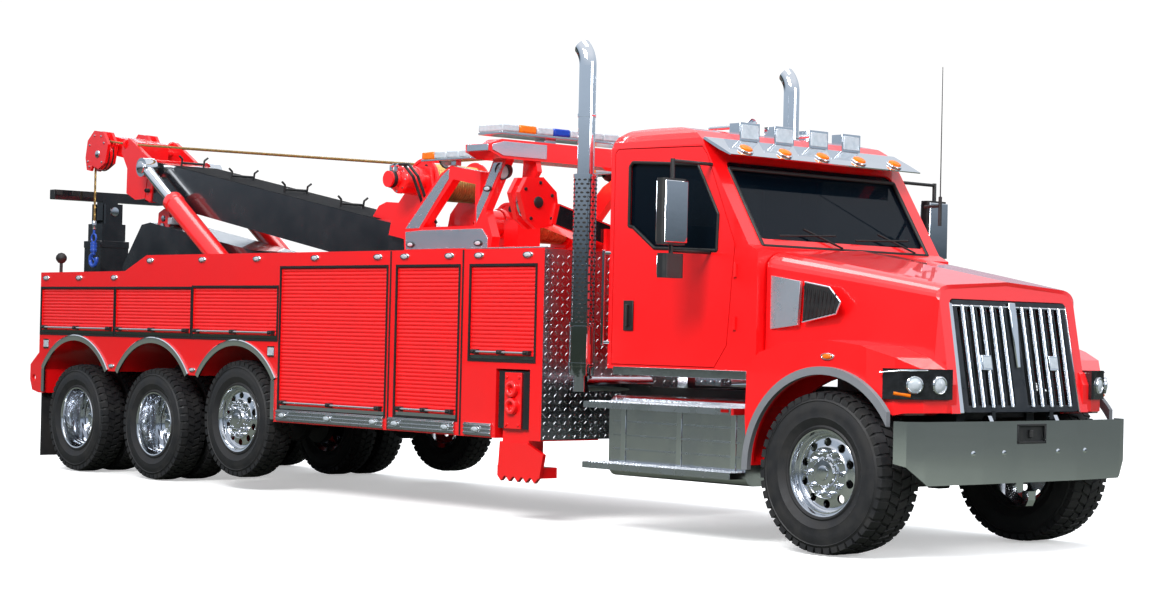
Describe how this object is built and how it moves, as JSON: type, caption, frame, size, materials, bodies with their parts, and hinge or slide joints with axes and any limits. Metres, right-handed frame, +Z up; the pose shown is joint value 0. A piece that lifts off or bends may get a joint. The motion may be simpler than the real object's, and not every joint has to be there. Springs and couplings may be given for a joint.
{
  "type": "heavy tow truck",
  "caption": "Long red recovery truck with a conventional cab, locker body with roll-up shutters, lifting telescopic boom, winches, folding underlift and outriggers.",
  "frame": {"origin": "on the ground below the middle of the truck's outline", "axes": "+X forward along the truck, +Y to its left, +Z up"},
  "size_m": [12.055, 3.11, 3.6162],
  "materials": {
    "dark_steel": "satin black chassis paint",
    "red_paint": "gloss clear coat",
    "black_paint": "gloss black",
    "chrome": "polished",
    "aluminium": "polished grip plate",
    "glass": "tinted",
    "interior": "grained",
    "lamp": "clear lens",
    "flare": "moulded",
    "rubber": "matt",
    "hook_blue": "gloss",
    "tyre": "tread rubber",
    "engine_grey": "painted"
  },
  "bodies": {
    "chassis": {"frame_rails": "dark_steel", "front_suspension": "dark_steel", "rear_axles": "dark_steel", "rear_suspension": "dark_steel", "powertrain": "engine_grey", "bumper": "chrome", "exhaust_stacks": "chrome", "tanks_and_steps": "aluminium", "cab_shell": "red_paint", "cab_glass": "glass", "cab_interior": "interior", "roof_trim": "chrome", "body_right": "red_paint", "body_left": "red_paint", "body_deck": "red_paint", "shutters": "red_paint", "mudflaps": "rubber", "pylon": "red_paint", "light_bars": "lamp", "rear_mast": "black_paint", "boom_pedestal": "black_paint", "winch_lower": "red_paint"},
    "hood": {"hood": "red_paint", "grille": "chrome", "headlamps": "lamp", "fender_flares": "flare"},
    "boom": {"boom_outer": "black_paint", "winch_upper": "red_paint"},
    "boom_tip": {"boom_inner": "black_paint", "boom_head": "red_paint"},
    "hook_line": {"hook": "hook_blue"},
    "lift_barrels": {"lift_barrels": "red_paint"},
    "lift_rods": {"lift_rods": "chrome"},
    "underlift_arm": {"underlift_arm": "black_paint"},
    "stinger": {"stinger": "black_paint"},
    "crossbar": {"crossbar": "black_paint"},
    "side_puller": {"side_puller": "red_paint"},
    "door_right": {"door_right": "red_paint", "door_glass_right": "glass", "mirror_right": "black_paint"},
    "outrigger_beam_right": {"outrigger_beam_right": "black_paint"},
    "outrigger_foot_right": {"outrigger_foot_right": "red_paint"},
    "knuckle_right": {"knuckle_right": "dark_steel"},
    "wheel_steer_right": {"wheel_steer_right": "tyre"},
    "wheel_pusher_right": {"wheel_pusher_right": "tyre"},
    "wheel_drive_front_right": {"wheel_drive_front_right": "tyre"},
    "wheel_drive_rear_right": {"wheel_drive_rear_right": "tyre"},
    "door_left": {"door_left": "red_paint", "door_glass_left": "glass", "mirror_left": "black_paint"},
    "outrigger_beam_left": {"outrigger_beam_left": "black_paint"},
    "outrigger_foot_left": {"outrigger_foot_left": "red_paint"},
    "knuckle_left": {"knuckle_left": "dark_steel"},
    "wheel_steer_left": {"wheel_steer_left": "tyre"},
    "wheel_pusher_left": {"wheel_pusher_left": "tyre"},
    "wheel_drive_front_left": {"wheel_drive_front_left": "tyre"},
    "wheel_drive_rear_left": {"wheel_drive_rear_left": "tyre"}
  },
  "joints": [
    {"name": "door_right", "type": "hinge", "parent": "chassis", "child": "door_right", "pos_m": [4.257, -1.058, 2], "axis": [0, 0, 1], "range_deg": [0, 65]},
    {"name": "outrigger_out_right", "type": "slide", "parent": "chassis", "child": "outrigger_beam_right", "axis": [0, -1, 0], "range_m": [0, 0.35]},
    {"name": "outrigger_down_right", "type": "slide", "parent": "outrigger_beam_right", "child": "outrigger_foot_right", "axis": [0, 0, -1], "range_m": [0, 0.27]},
    {"name": "steer_right", "type": "hinge", "parent": "chassis", "child": "knuckle_right", "pos_m": [5.242, -0.94, 0.545], "axis": [0, 0, 1], "range_deg": [-30, 30]},
    {"name": "wheel_steer_right", "type": "hinge", "parent": "knuckle_right", "child": "wheel_steer_right", "pos_m": [5.242, -1.06, 0.545], "axis": [0, 1, 0], "continuous": true},
    {"name": "wheel_pusher_right", "type": "hinge", "parent": "chassis", "child": "wheel_pusher_right", "pos_m": [-1.498, -1, 0.62], "axis": [0, 1, 0], "continuous": true},
    {"name": "wheel_drive_front_right", "type": "hinge", "parent": "chassis", "child": "wheel_drive_front_right", "pos_m": [-2.853, -1, 0.515], "axis": [0, 1, 0], "continuous": true},
    {"name": "wheel_drive_rear_right", "type": "hinge", "parent": "chassis", "child": "wheel_drive_rear_right", "pos_m": [-4.223, -1, 0.515], "axis": [0, 1, 0], "continuous": true},
    {"name": "door_left", "type": "hinge", "parent": "chassis", "child": "door_left", "pos_m": [4.257, 1.058, 2], "axis": [0, 0, -1], "range_deg": [0, 65]},
    {"name": "outrigger_out_left", "type": "slide", "parent": "chassis", "child": "outrigger_beam_left", "axis": [0, 1, 0], "range_m": [0, 0.35]},
    {"name": "outrigger_down_left", "type": "slide", "parent": "outrigger_beam_left", "child": "outrigger_foot_left", "axis": [0, 0, -1], "range_m": [0, 0.27]},
    {"name": "steer_left", "type": "hinge", "parent": "chassis", "child": "knuckle_left", "pos_m": [5.242, 0.94, 0.545], "axis": [0, 0, 1], "range_deg": [-30, 30]},
    {"name": "wheel_steer_left", "type": "hinge", "parent": "knuckle_left", "child": "wheel_steer_left", "pos_m": [5.242, 1.06, 0.545], "axis": [0, 1, 0], "continuous": true},
    {"name": "wheel_pusher_left", "type": "hinge", "parent": "chassis", "child": "wheel_pusher_left", "pos_m": [-1.498, 1, 0.62], "axis": [0, 1, 0], "continuous": true},
    {"name": "wheel_drive_front_left", "type": "hinge", "parent": "chassis", "child": "wheel_drive_front_left", "pos_m": [-2.853, 1, 0.515], "axis": [0, 1, 0], "continuous": true},
    {"name": "wheel_drive_rear_left", "type": "hinge", "parent": "chassis", "child": "wheel_drive_rear_left", "pos_m": [-4.223, 1, 0.515], "axis": [0, 1, 0], "continuous": true},
    {"name": "hood_tilt", "type": "hinge", "parent": "chassis", "child": "hood", "pos_m": [5.932, 0, 0.93], "axis": [0, 1, 0], "range_deg": [0, 55]},
    {"name": "boom_lift", "type": "hinge", "parent": "chassis", "child": "boom", "pos_m": [0.092, 0, 2.03], "axis": [0, 1, 0], "range_deg": [0, 30]},
    {"name": "boom_extend", "type": "slide", "parent": "boom", "child": "boom_tip", "axis": [-0.9842, 0, 0.1771], "range_m": [0, 1.8]},
    {"name": "hook_swing", "type": "hinge", "parent": "boom_tip", "child": "hook_line", "pos_m": [-5.673, -0.262, 3.1744], "axis": [0, 1, 0], "range_deg": [-30, 0]},
    {"name": "barrel_swing", "type": "hinge", "parent": "chassis", "child": "lift_barrels", "pos_m": [-2.108, 0, 1.38], "axis": [0, 1, 0], "range_deg": [0, 37.6]},
    {"name": "rod_slide", "type": "slide", "parent": "lift_barrels", "child": "lift_rods", "axis": [-0.8282, 0, 0.5604], "range_m": [0, 1.121]},
    {"name": "underlift_fold", "type": "hinge", "parent": "chassis", "child": "underlift_arm", "pos_m": [-5.858, 0, 0.65], "axis": [0, 1, 0], "range_deg": [-90, 0]},
    {"name": "stinger_extend", "type": "slide", "parent": "underlift_arm", "child": "stinger", "axis": [0, 0, 1], "range_m": [0, 0.9]},
    {"name": "crossbar_swivel", "type": "hinge", "parent": "stinger", "child": "crossbar", "pos_m": [-5.858, 0, 2.6], "axis": [1, 0, 0], "range_deg": [-15, 15]},
    {"name": "side_puller_swing", "type": "hinge", "parent": "chassis", "child": "side_puller", "pos_m": [2.142, -0.33, 2.19], "axis": [-1, 0, 0], "range_deg": [0, 25]}
  ],
  "couplings": [
    {"joint": "steer_left", "follows": "steer_right", "ratio": 1},
    {"joint": "hook_swing", "follows": "boom_lift", "ratio": -1},
    {"joint": "barrel_swing", "follows": "boom_lift", "ratio": 1.2362},
    {"joint": "rod_slide", "follows": "boom_lift", "m_per_rad": 2.1226}
  ]
}
